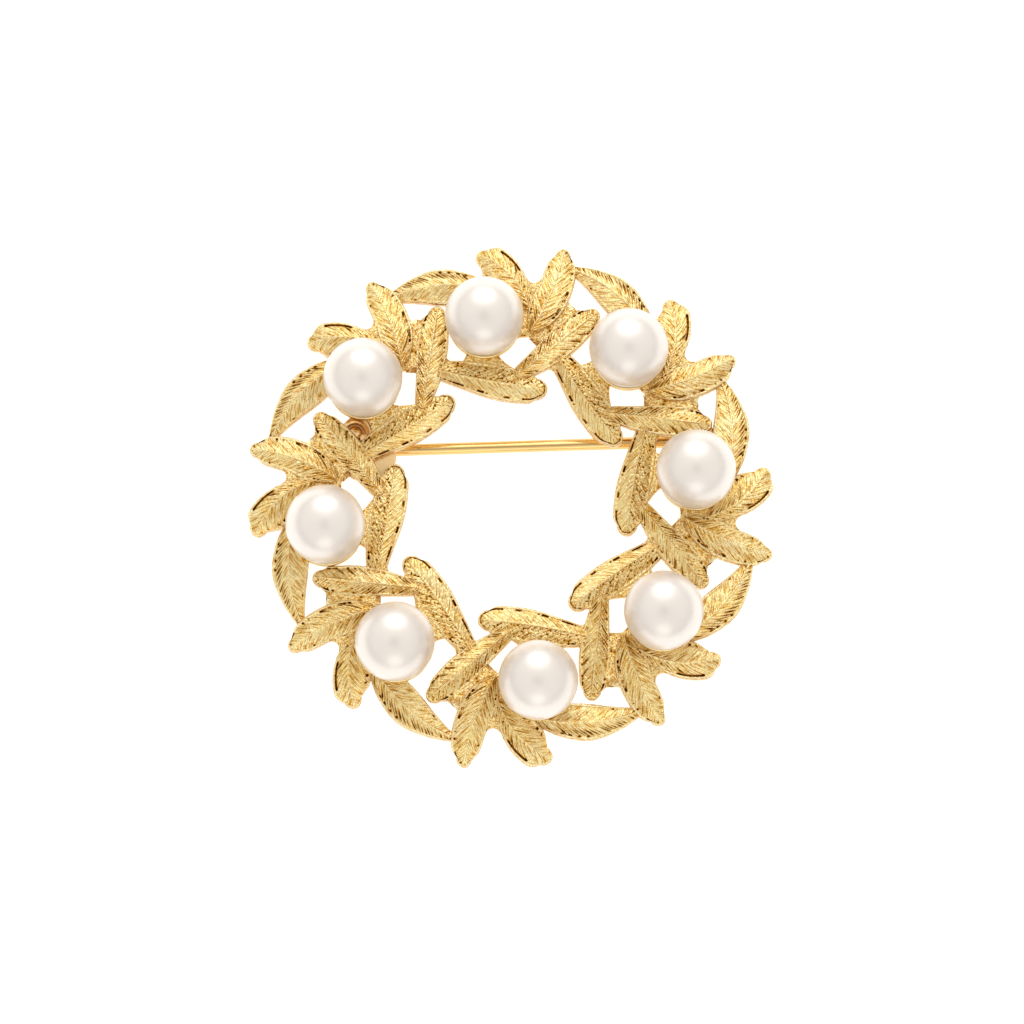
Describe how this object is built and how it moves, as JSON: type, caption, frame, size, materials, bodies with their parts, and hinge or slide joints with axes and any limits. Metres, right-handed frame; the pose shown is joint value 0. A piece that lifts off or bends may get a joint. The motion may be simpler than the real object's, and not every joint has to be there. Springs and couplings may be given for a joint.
{
  "type": "wreath brooch",
  "caption": "Round brooch: a cast ring of overlapping veined leaves set with pearls, with a hinged pin stem and a catch behind.",
  "frame": {"origin": "centre of the brooch's outline, on the surface that it lies on with its pin behind", "axes": "+Z out of the front, towards the viewer; +X to the right and +Y to the top as it is worn"},
  "size_m": [0.0398, 0.0399, 0.0092],
  "materials": {
    "gold_cast": "cast, polished on the edges",
    "gold_wire": "drawn and polished",
    "pearl": "nacre, soft lustre"
  },
  "bodies": {
    "brooch": {"wreath": "gold_cast", "hinge_rivet": "gold_wire", "pearl_1": "pearl", "pearl_2": "pearl", "pearl_3": "pearl", "pearl_4": "pearl", "pearl_5": "pearl", "pearl_6": "pearl", "pearl_7": "pearl", "pearl_8": "pearl"},
    "pin": {"pin_stem": "gold_wire"}
  },
  "joints": [
    {"name": "pin_hinge", "type": "hinge", "parent": "brooch", "child": "pin", "pos_m": [-0.0109, 0.00426, 0.0008], "axis": [-0.0314, 0.9995, 0], "range_deg": [0, 85]}
  ]
}
